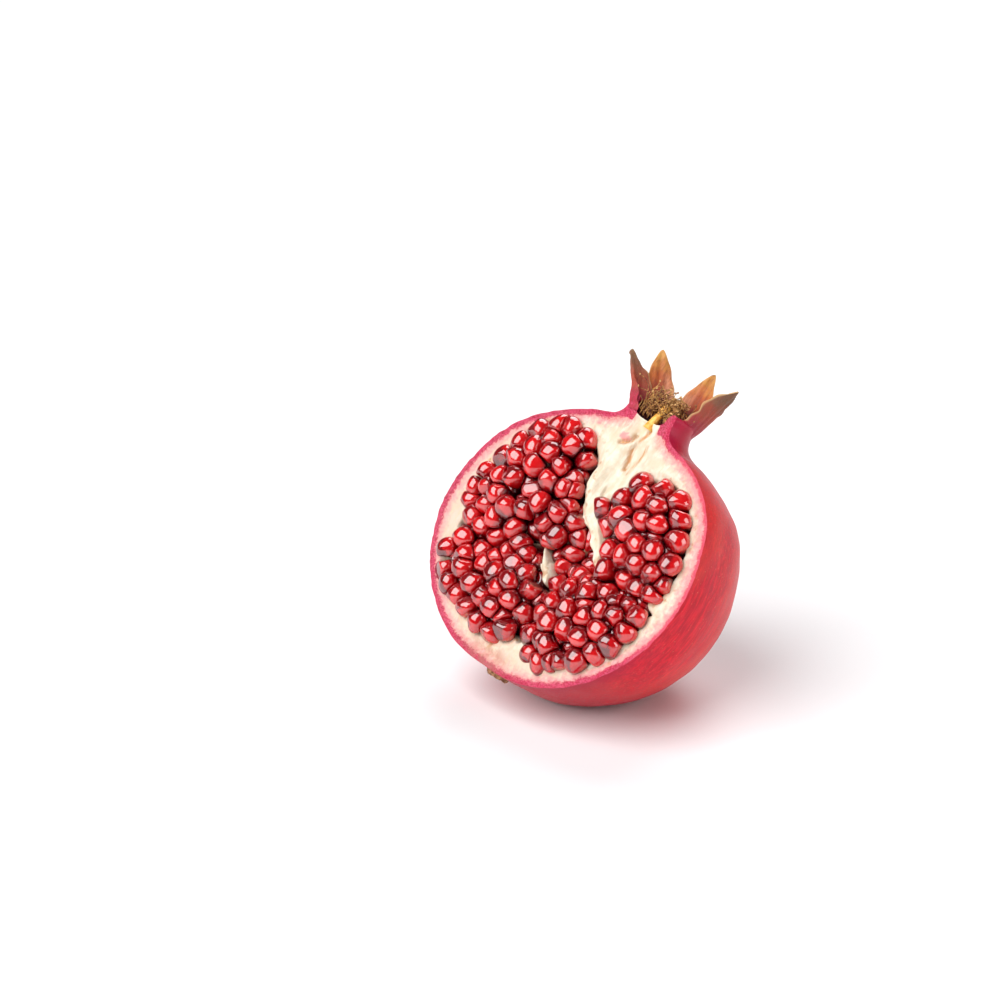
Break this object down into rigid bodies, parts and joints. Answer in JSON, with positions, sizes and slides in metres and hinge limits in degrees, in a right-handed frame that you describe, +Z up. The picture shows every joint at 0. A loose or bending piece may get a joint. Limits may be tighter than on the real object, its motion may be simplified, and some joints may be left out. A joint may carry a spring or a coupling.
{
  "type": "halved pomegranate",
  "caption": "Pomegranate cut lengthways: rind with crown and membranes, clusters of red arils in open chambers, cut face up, resting on a small flat spot.",
  "frame": {"origin": "centre of the bounding box at the bottom, on the surface the fruit rests on", "axes": "+Z up; the cut face looks up and towards -X -Y; the crown points up and towards +X"},
  "size_m": [0.0896, 0.0894, 0.0961],
  "materials": {
    "rind": "satin",
    "arils": "gloss",
    "stamens": "matte",
    "style": "matte",
    "stem": "matte"
  },
  "bodies": {
    "root": {"rind": "rind", "arils_upper": "arils", "arils_left": "arils", "arils_right": "arils", "arils_lower": "arils", "arils_middle": "arils", "stamens": "stamens", "style": "style", "stem_scar": "stem"}
  },
  "joints": []
}
